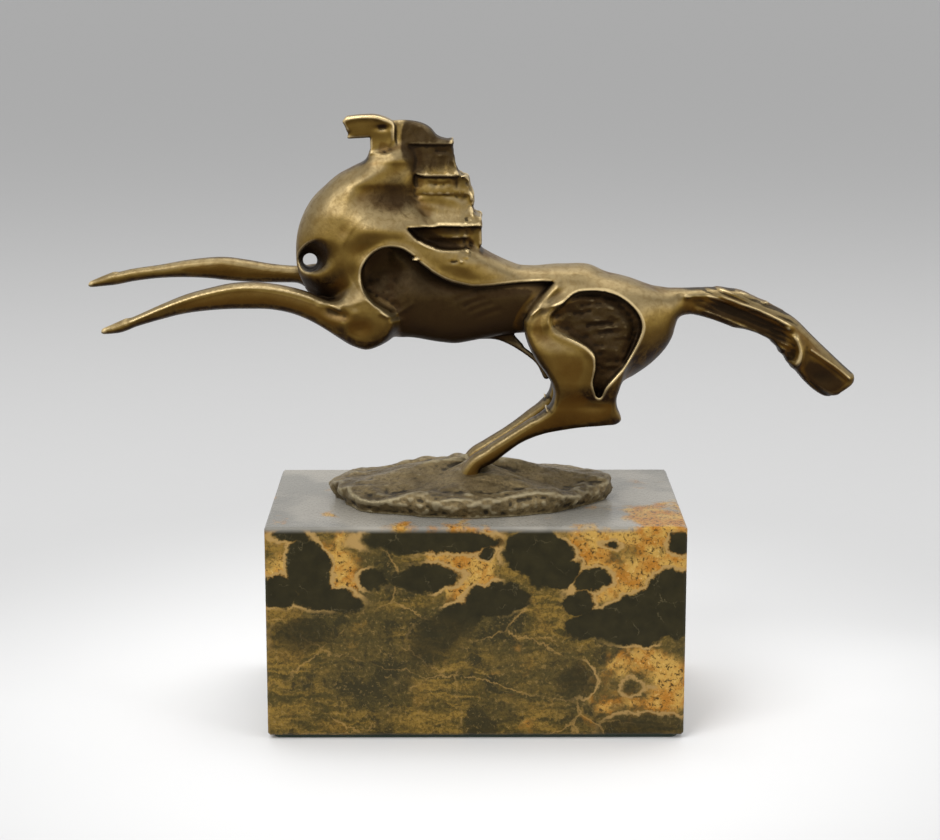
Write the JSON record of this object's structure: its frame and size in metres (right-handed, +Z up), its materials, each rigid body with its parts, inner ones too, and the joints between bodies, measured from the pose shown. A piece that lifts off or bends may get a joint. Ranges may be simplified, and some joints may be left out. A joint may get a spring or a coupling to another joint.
{
  "type": "horse statuette",
  "caption": "Leaping horse statuette in brown-patinated cast bronze, with scooped flanks and a pierced chest, on a rough cast ground bolted to a rectangular black and gold marble block.",
  "frame": {"origin": "centre of the felt's underside, where the statuette rests", "axes": "+Z up; +X along the block's long side, from the horse's head towards its tail; +Y from its near side to its far side"},
  "size_m": [0.2833, 0.09, 0.2203],
  "materials": {
    "bronze": "satin golden-brown patina, rubbed pale gold on rims and ridges, near-black in the scoops",
    "ground_bronze": "rough as-cast olive-brown patina",
    "marble": "polished black and gold breccia",
    "felt": "short dark green nap",
    "plated_steel": "zinc plated"
  },
  "bodies": {
    "root": {"marble_block": "marble", "felt_sheet": "felt", "ground_casting": "ground_bronze", "body_casting": "bronze", "head_casting": "bronze", "mane_casting": "bronze", "near_foreleg": "bronze", "off_foreleg": "bronze", "near_hind_leg": "bronze", "off_hind_leg": "bronze", "tail_casting": "bronze", "fixing_stud": "plated_steel", "plain_washer": "plated_steel", "spring_washer": "plated_steel", "hex_nut": "plated_steel"}
  },
  "joints": []
}
